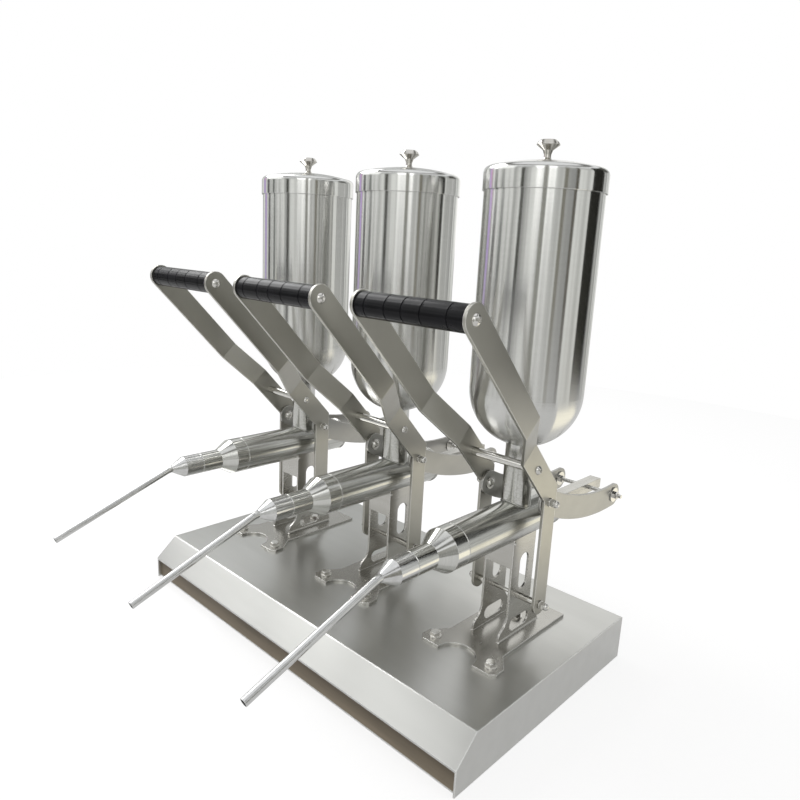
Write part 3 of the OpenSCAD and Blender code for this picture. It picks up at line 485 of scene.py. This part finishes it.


# metals: colour and tone are the clean metal and its darker streaks, the edge colour and edge the worn edges,
# with a painted highlight along them, and their width, shade a node and the colour of a painted shade that
# darkens towards that node's top, stretch and grain the way the brushing runs and its relief, gloss and swing
# the roughness and how far it varies, smudge and marks the smudges' scale and the scratches, drawn and axis
# the long bands of steel that was turned round an axis

metals = {
    "baseSheet": dict(
        colour=(0.62, 0.62, 0.60), tone=(0.59, 0.59, 0.57), wornLitEdge=(1.0, 1.0, 0.99), edge=0.0026,
        stretch=(6, 40, 40), grain=0.0, gloss=0.29, swing=0.02, smudge=5.0, marks=0.0),
    # painted shade and painted reflection: the set-back front is the same sheet as the base, coloured dark
    # brown for the shade under the slope and the floor it mirrors, and darker still towards its top
    "setBackSheet": dict(
        colour=(0.32, 0.27, 0.205), tone=(0.27, 0.23, 0.175), wornLitEdge=(0.50, 0.47, 0.42), edge=0.0010,
        stretch=(9, 90, 90), grain=0.00002, gloss=0.40, swing=0.10, smudge=9.0, marks=0.2,
        shade=("base_front", (0.045, 0.036, 0.026))),
    "hopperSteel": dict(
        colour=(0.68, 0.68, 0.66), tone=(0.655, 0.655, 0.635), wornLitEdge=(0.80, 0.80, 0.79), edge=0.0008,
        stretch=(4, 4, 700), grain=0.0, gloss=0.18, swing=0.02, smudge=9.0, marks=0.05, drawn=1.0,
        hollow=("hopper_2", "hopper_3")),
    "lidSteel": dict(
        colour=(0.70, 0.70, 0.68), tone=(0.67, 0.67, 0.65), wornLitEdge=(0.86, 0.86, 0.85), edge=0.0012,
        stretch=(4, 4, 700), grain=0.0, gloss=0.16, swing=0.02, smudge=12.0, marks=0.05, drawn=0.8),
    "knobSteel": dict(
        colour=(0.62, 0.60, 0.56), tone=(0.54, 0.52, 0.48), wornLitEdge=(0.80, 0.79, 0.76), edge=0.0006,
        stretch=(60, 60, 240), grain=0.00002, gloss=0.12, swing=0.06, smudge=30.0, marks=0.2),
    "pumpSteel": dict(
        colour=(0.66, 0.66, 0.63), tone=(0.50, 0.50, 0.47), wornLitEdge=(0.84, 0.84, 0.82), edge=0.0008,
        stretch=(420, 3, 420), grain=0.0, gloss=0.19, swing=0.05, smudge=18.0, marks=0.10,
        drawn=0.85, axis="Y", neck="barrel_2"),
    "capSteel": dict(
        colour=(0.68, 0.68, 0.65), tone=(0.62, 0.62, 0.59), wornLitEdge=(0.90, 0.90, 0.88), edge=0.0008,
        stretch=(4, 900, 4), grain=0.0, gloss=0.14, swing=0.03, smudge=18.0, marks=0.05,
        drawn=0.7, axis="Y"),
    "nozzleSteel": dict(
        colour=(0.70, 0.70, 0.69), tone=(0.60, 0.60, 0.59), wornLitEdge=(0.84, 0.84, 0.83), edge=0.0006,
        stretch=(190, 8, 190), grain=0.00001, gloss=0.16, swing=0.08, smudge=20.0, marks=0.2),
    "rodSteel": dict(
        colour=(0.58, 0.57, 0.54), tone=(0.48, 0.47, 0.44), wornLitEdge=(0.78, 0.77, 0.74), edge=0.0008,
        stretch=(170, 5, 170), grain=0.00002, gloss=0.24, swing=0.10, smudge=20.0, marks=0.3),
    "linkSteel": dict(
        colour=(0.42, 0.415, 0.395), tone=(0.40, 0.395, 0.375), wornLitEdge=(0.90, 0.89, 0.86), edge=0.0012,
        stretch=(60, 30, 60), grain=0.0, gloss=0.32, swing=0.06, smudge=16.0, marks=0.15),
    "leverSteel": dict(
        colour=(0.435, 0.425, 0.385), tone=(0.415, 0.405, 0.365), wornLitEdge=(0.95, 0.94, 0.91), edge=0.0014,
        stretch=(60, 30, 30), grain=0.0, gloss=0.32, swing=0.05, smudge=14.0, marks=0.15),
    "bracketSteel": dict(
        colour=(0.53, 0.52, 0.49), tone=(0.49, 0.48, 0.45), wornLitEdge=(0.95, 0.94, 0.92), edge=0.0014,
        stretch=(12, 12, 90), grain=0.0, gloss=0.26, swing=0.02, smudge=14.0, marks=0.0),
    "boltSteel": dict(
        colour=(0.70, 0.69, 0.66), tone=(0.62, 0.61, 0.58), wornLitEdge=(0.86, 0.85, 0.83), edge=0.0005,
        stretch=(260, 260, 260), grain=0.0, gloss=0.11, swing=0.04, smudge=40.0, marks=0.05),
}

anyMetal = {
    "smudgeTint": 0.30,  # how much of the tone a full smudge adds
    "smudgeDulls": 0.8,  # share of the swing that it adds to the roughness
    "scratchDulls": 0.3,  # roughness of a scratch at full marks
    "insideMetallic": 0.25,
    "drawnTurn": 0.25,
}


def heightOf(tree, place):
    return partsOf(tree, place)["Z"]


def insideMask(tree, place, vessel, neighbour):
    # the vessels stand in a row along X: 1 where a face looks towards its own vessel's axis
    middle, beside = [(low[0] + high[0]) / 2 for low, high in (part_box(vessel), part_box(neighbour))]
    half = abs(beside - middle) / 2
    parts = partsOf(tree, place)
    across = mathNode(tree, "WRAP", parts["X"], middle + half, middle - half)
    fromAxis = addNode(tree, "ShaderNodeCombineXYZ")
    join(tree, mathNode(tree, "SUBTRACT", across, middle), fromAxis.inputs["X"])
    join(tree, parts["Y"], fromAxis.inputs["Y"])
    flat = addNode(tree, "ShaderNodeNewGeometry")
    return mathNode(tree, "LESS_THAN", dotProduct(tree, fromAxis.outputs[0], flat.outputs["Normal"]), 0.0)


def roundAxis(tree, axis):
    return addNode(tree, "ShaderNodeTangent", direction_type="RADIAL", axis=axis).outputs[0]


def makeMetal(name, look):
    material, tree, shader, place, grain, wearAndHighlight, use = startFinish(name, look)
    colour = mixColours(tree, grain["Streak"], look["colour"], look["tone"])
    if "shade" in look:  # painted shade: the recess darker towards its top, as under the overhang above it
        node, paintedShadeColour = look["shade"]
        low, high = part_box(node)
        colour = mixColours(tree, mapRange(tree, heightOf(tree, place), low[2], high[2]), colour, paintedShadeColour)
    smudged = mathNode(tree, "MULTIPLY", use["Smudge"], anyMetal["smudgeTint"])
    colour = mixColours(tree, smudged, colour, look["tone"])
    # worn edges with a painted highlight: every edge takes the lighter edge colour
    join(tree, mixColours(tree, wearAndHighlight["Edge"], colour, look["wornLitEdge"]), shader.inputs["Base Color"])
    gloss, swing = look["gloss"], look["swing"]
    rough = mapRange(tree, grain["Hairline"], 0, 1, gloss - swing / 2, gloss + swing / 2)
    rough = mathNode(tree, "MULTIPLY_ADD", use["Smudge"], swing * anyMetal["smudgeDulls"], rough)
    rough = mathNode(tree, "MULTIPLY_ADD", use["Scratch"], look["marks"] * anyMetal["scratchDulls"], rough)
    join(tree, rough, shader.inputs["Roughness"])
    height = mathNode(tree, "SUBTRACT", grain["Hairline"], use["Scratch"])
    addRelief(tree, shader, height, wearAndHighlight["Normal"], look["grain"])
    shader.inputs["Metallic"].default_value = 1.0
    if "hollow" in look:  # the steel inside a vessel is dull, so light reaches down it
        inside = insideMask(tree, place, *look["hollow"])
        metallic = mapRange(tree, inside, 0, 1, 1.0, anyMetal["insideMetallic"])
        join(tree, metallic, shader.inputs["Metallic"])
    if "drawn" in look:  # turned or polished round its axis, so it mirrors in long bands
        shader.inputs["Anisotropic"].default_value = look["drawn"]
        shader.inputs["Anisotropic Rotation"].default_value = anyMetal["drawnTurn"]
        around = roundAxis(tree, look.get("axis", "Z"))
        if "neck" in look:  # the upright tube on the lying one is turned round its own axis
            low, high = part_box(look["neck"])
            width = high[0] - low[0]  # the lying tube is round, so as high as it is wide
            above = mathNode(tree, "GREATER_THAN", heightOf(tree, place), low[2] + width)
            choose = addNode(tree, "ShaderNodeMix", data_type="VECTOR")
            join(tree, above, choose.inputs[0])
            join(tree, around, choose.inputs[4])  # the vector sockets A and B
            join(tree, roundAxis(tree, "Z"), choose.inputs[5])
            around = choose.outputs[1]
        join(tree, around, shader.inputs["Tangent"])
    return material


# plastics. shine: how much light the skin throws back; the other names are those of the metals

plastics = {
    "gripPlastic": dict(
        colour=(0.002, 0.002, 0.003), tone=(0.004, 0.004, 0.006), wornLitEdge=(0.012, 0.012, 0.014), edge=0.0004,
        stretch=(20, 420, 420), grain=0.0, gloss=0.24, swing=0.05, smudge=30.0, shine=0.16),
    "sealRubber": dict(
        colour=(0.012, 0.012, 0.012), tone=(0.03, 0.03, 0.03), wornLitEdge=(0.05, 0.05, 0.05), edge=0.0005,
        stretch=(200, 200, 200), grain=0.00005, gloss=0.55, swing=0.15, smudge=40.0, shine=0.4),
}


def makePlastic(name, look):
    material, tree, shader, _, grain, wearAndHighlight, use = startFinish(name, look)
    dusty = mixColours(tree, use["Smudge"], look["colour"], look["tone"])
    # worn edges with a painted highlight: every edge takes the lighter edge colour
    join(tree, mixColours(tree, wearAndHighlight["Edge"], dusty, look["wornLitEdge"]), shader.inputs["Base Color"])
    shader.inputs["Specular IOR Level"].default_value = look["shine"]
    gloss, swing = look["gloss"], look["swing"]
    rough = mapRange(tree, use["Smudge"], 0, 1, gloss - swing / 2, gloss + swing)
    join(tree, rough, shader.inputs["Roughness"])
    addRelief(tree, shader, grain["Hairline"], wearAndHighlight["Normal"], look["grain"])
    return material


finishes = {name: makeMetal(name, look) for name, look in metals.items()}
finishes.update({name: makePlastic(name, look) for name, look in plastics.items()})
print("finishes made,", len(finishes))


# which finish each kind of node has

nodeFinish = {
    "base_shell": "baseSheet", "base_front": "setBackSheet", "base_plate": "baseSheet",
    "hopper": "hopperSteel", "lid": "lidSteel", "knob": "knobSteel",
    "barrel": "pumpSteel", "front_cap": "capSteel", "nozzle": "nozzleSteel",
    "piston": "rodSteel", "seals": "sealRubber", "links": "linkSteel", "rear_pin": "boltSteel",
    "lever_left": "leverSteel", "lever_right": "leverSteel", "grip": "gripPlastic",
    "grip_rod": "boltSteel", "stop_rod": "boltSteel", "link_pins": "boltSteel", "pivot": "boltSteel",
    "bracket": "bracketSteel", "bracket_bolts": "boltSteel",
}


def dressNodes():
    for name, piece in nodes.items():
        kind = name.rsplit("_", 1)[0] if name[-1].isdigit() else name
        for slot in piece.material_slots:
            slot.material = finishes[nodeFinish[kind]]


dressNodes()
print("nodes dressed")


def finishMesh(mesh, sharpAngle):
    shell = bmesh.new()
    shell.from_mesh(mesh)
    bmesh.ops.recalc_face_normals(shell, faces=shell.faces)
    shell.to_mesh(mesh)
    shell.free()
    mesh.shade_smooth()
    mesh.set_sharp_from_angle(angle=math.radians(sharpAngle))


# hand grips: black sleeves with rings cut round them and fine flutes between the rings

gripSleeve = {
    "flutes": 14,
    "fluteDepth": 0.00014,
    "fluteNarrowing": 3,
    "columnsPerFlute": 10,
    "ringShares": (0.1, 0.3, 0.46, 0.63, 0.86),  # of the sleeve's length
    "ringWidth": 0.0015,
    "ringSlope": 0.125,  # of the ring's width
    "ringDepth": 0.0007,
    "runOut": 0.0026,  # over which a flute comes up to full depth beside a ring
    "runOutShape": ((0.0, 0.0), (0.35, 0.28), (0.7, 0.85), (1.0, 1.0)),  # way along it, share of the depth
    "chamfer": 0.0006,
    "bore": 0.0042,
    "sharpAngle": 30,
}


def sleeveRows(length):
    look = gripSleeve
    half, slope = look["ringWidth"] / 2, look["ringWidth"] * look["ringSlope"]
    chamfer, depth = look["chamfer"], look["ringDepth"]

    def runOut(start, sign):
        steps = look["runOutShape"] if sign > 0 else reversed(look["runOutShape"])
        return [(start + sign * look["runOut"] * step, 0.0, flute) for step, flute in steps]

    rows = [(0.0, chamfer, 0.0)] + runOut(chamfer, 1)
    for share in look["ringShares"]:
        middle = share * length
        rows += runOut(middle - half, -1)
        rows += [(middle - half + slope, depth, 0.0), (middle + half - slope, depth, 0.0)]
        rows += runOut(middle + half, 1)
    return rows + runOut(length - chamfer, -1) + [(length, chamfer, 0.0)]


def buildSleeve(head):
    look = gripSleeve
    low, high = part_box(f"grip_{head}")
    radius, length = (high[2] - low[2]) / 2, high[0] - low[0]
    midY, midZ = (low[1] + high[1]) / 2, (low[2] + high[2]) / 2
    wall = radius - look["bore"]
    rows = [(0.0, wall, 0.0)] + sleeveRows(length) + [(length, wall, 0.0)]
    columns = look["flutes"] * look["columnsPerFlute"]
    points = []
    for along, drop, flute in rows:  # way along the sleeve, drop below its radius, share of the flutes' depth
        for column in range(columns):
            turn = 2 * math.pi * column / columns
            dip = (0.5 - 0.5 * math.cos(look["flutes"] * turn)) ** look["fluteNarrowing"]
            reach = radius - drop - look["fluteDepth"] * flute * dip
            points.append((low[0] + along, midY + reach * math.cos(turn), midZ + reach * math.sin(turn)))
    faces = []
    for row in range(len(rows)):
        after = (row + 1) % len(rows)
        for column in range(columns):
            beside = (column + 1) % columns
            faces.append((row * columns + column, row * columns + beside,
                          after * columns + beside, after * columns + column))
    mesh = bpy.data.meshes.new(f"gripSleeve_{head}")
    mesh.from_pydata(points, [], faces)
    finishMesh(mesh, look["sharpAngle"])
    mesh.materials.append(finishes["gripPlastic"])
    sleeve = addObject(f"gripSleeve_{head}", mesh)
    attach(sleeve, f"lever_{head}")
    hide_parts(f"grip_{head}")


for head in heads:
    buildSleeve(head)
print("grip sleeves built")


# geometry node trees for what repeats

def newGeometryTree(name, inputs):
    tree = bpy.data.node_groups.new(name, "GeometryNodeTree")
    for socketName, kind in inputs:
        tree.interface.new_socket(socketName, in_out="INPUT", socket_type=kind)
    tree.interface.new_socket("Geometry", in_out="OUTPUT", socket_type="NodeSocketGeometry")
    start = addNode(tree, "NodeGroupInput")
    end = addNode(tree, "NodeGroupOutput")
    return tree, start.outputs, end.inputs


def closeTree(tree, shape, given, made):
    real = addNode(tree, "GeometryNodeRealizeInstances")
    join(tree, shape, real.inputs["Geometry"])
    dressed = addNode(tree, "GeometryNodeSetMaterial")
    join(tree, real.outputs["Geometry"], dressed.inputs["Geometry"])
    join(tree, given["Material"], dressed.inputs["Material"])
    join(tree, dressed.outputs["Geometry"], made["Geometry"])


def addCircle(tree, sides, radius):
    circle = addNode(tree, "GeometryNodeCurvePrimitiveCircle")
    circle.inputs["Resolution"].default_value = sides
    feed(tree, radius, circle.inputs["Radius"])
    return circle.outputs["Curve"]


def grow(name, start, tree, values, sharpAngle, body):
    piece = addObject(name, start)
    modifier = piece.modifiers.new("grow", "NODES")
    modifier.node_group = tree
    for socket in tree.interface.items_tree:
        if socket.name in values:
            modifier[socket.identifier] = values[socket.name]
    seen = piece.evaluated_get(bpy.context.evaluated_depsgraph_get())
    mesh = bpy.data.meshes.new_from_object(seen)
    mesh.name = name
    piece.modifiers.remove(modifier)
    piece.data = mesh
    finishMesh(mesh, sharpAngle)
    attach(piece, body)


# bead where the upright inlet tube meets the lying pump barrel

inletBead = {
    "tubeRadius": 0.0201,
    "steps": 96,
    "ripples": 60,
    "pointsPerRipple": 4,
    "radius": 0.0010,
    "swell": 0.12,
    "sides": 10,
    "sharpAngle": 50,
}


def makeBeadTree():
    tree, given, made = newGeometryTree("weldBead", [
        ("Path", "NodeSocketGeometry"), ("Ripples", "NodeSocketInt"), ("Radius", "NodeSocketFloat"),
        ("Swell", "NodeSocketFloat"), ("Material", "NodeSocketMaterial")])
    path = addNode(tree, "GeometryNodeMeshToCurve")
    join(tree, given["Path"], path.inputs["Mesh"])
    even = addNode(tree, "GeometryNodeResampleCurve")
    join(tree, path.outputs["Curve"], even.inputs["Curve"])
    perRipple = inletBead["pointsPerRipple"]
    join(tree, mathNode(tree, "MULTIPLY", given["Ripples"], perRipple), even.inputs["Count"])
    number = addNode(tree, "GeometryNodeInputIndex").outputs["Index"]
    wave = mathNode(tree, "SINE", mathNode(tree, "MULTIPLY", number, 2 * math.pi / perRipple))
    swollen = mathNode(tree, "MULTIPLY", mathNode(tree, "MULTIPLY", wave, given["Swell"]), given["Radius"])
    solid = addNode(tree, "GeometryNodeCurveToMesh")
    join(tree, even.outputs["Curve"], solid.inputs["Curve"])
    join(tree, addCircle(tree, inletBead["sides"], 1.0), solid.inputs["Profile Curve"])
    join(tree, mathNode(tree, "ADD", swollen, given["Radius"]), solid.inputs["Scale"])
    closeTree(tree, solid.outputs["Mesh"], given, made)
    return tree


def buildInletBead(head):
    look = inletBead
    low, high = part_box(f"barrel_{head}")
    pump = (high[0] - low[0]) / 2
    midX, axisZ = (low[0] + high[0]) / 2, low[2] + pump
    points = []
    for step in range(look["steps"]):
        turn = 2 * math.pi * step / look["steps"]
        side, ahead = look["tubeRadius"] * math.cos(turn), look["tubeRadius"] * math.sin(turn)
        points.append((midX + side, ahead, axisZ + math.sqrt(pump ** 2 - side ** 2)))
    path = bpy.data.meshes.new("beadPath")
    path.from_pydata(points, [(step, (step + 1) % look["steps"]) for step in range(look["steps"])], [])
    values = {"Ripples": look["ripples"], "Radius": look["radius"], "Swell": look["swell"],
              "Material": finishes["pumpSteel"]}
    grow(f"inletBead_{head}", path, weldBead, values, look["sharpAngle"], "frame")


# thread on the cross bolt between the rod and the nuts inside the links

boltThread = {
    "clearOfRod": 0.0098,
    "clearOfNut": 0.0366,
    "pitch": 0.0010,
    "radius": 0.00300,
    "thickness": 0.00022,
    "around": 36,
    "sides": 6,
    "sharpAngle": 50,
}


def makeThreadTree():
    tree, given, made = newGeometryTree("threadRings", [
        ("Start", "NodeSocketVector"), ("Step", "NodeSocketVector"), ("Count", "NodeSocketInt"),
        ("Radius", "NodeSocketFloat"), ("Thickness", "NodeSocketFloat"), ("Material", "NodeSocketMaterial")])
    row = addNode(tree, "GeometryNodeMeshLine", mode="OFFSET")
    join(tree, given["Count"], row.inputs["Count"])
    join(tree, given["Start"], row.inputs["Start Location"])
    join(tree, given["Step"], row.inputs["Offset"])
    ring = addNode(tree, "GeometryNodeCurveToMesh")
    join(tree, addCircle(tree, boltThread["around"], given["Radius"]), ring.inputs["Curve"])
    join(tree, addCircle(tree, boltThread["sides"], given["Thickness"]), ring.inputs["Profile Curve"])
    rings = addNode(tree, "GeometryNodeInstanceOnPoints")
    join(tree, row.outputs["Mesh"], rings.inputs["Points"])
    join(tree, ring.outputs["Mesh"], rings.inputs["Instance"])
    rings.inputs["Rotation"].default_value = (0, math.pi / 2, 0)  # the rings stand across X
    closeTree(tree, rings.outputs["Instances"], given, made)
    return tree


def buildThread(head):
    look = boltThread
    low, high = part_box(f"rear_pin_{head}")
    midX, midY, midZ = ((start + end) / 2 for start, end in zip(low, high))
    count = int((look["clearOfNut"] - look["clearOfRod"]) / look["pitch"])
    for side, sign in (("left", -1), ("right", 1)):
        values = {"Start": (midX + sign * look["clearOfRod"], midY, midZ),
                  "Step": (sign * look["pitch"], 0, 0), "Count": count,
                  "Radius": look["radius"], "Thickness": look["thickness"],
                  "Material": finishes["boltSteel"]}
        start = bpy.data.meshes.new("threadStart")
        grow(f"boltThread_{side}_{head}", start, threadRings, values, look["sharpAngle"],
             f"plunger_{head}")


weldBead = makeBeadTree()
threadRings = makeThreadTree()
for head in heads:
    buildInletBead(head)
    buildThread(head)
print("beads and threads built")
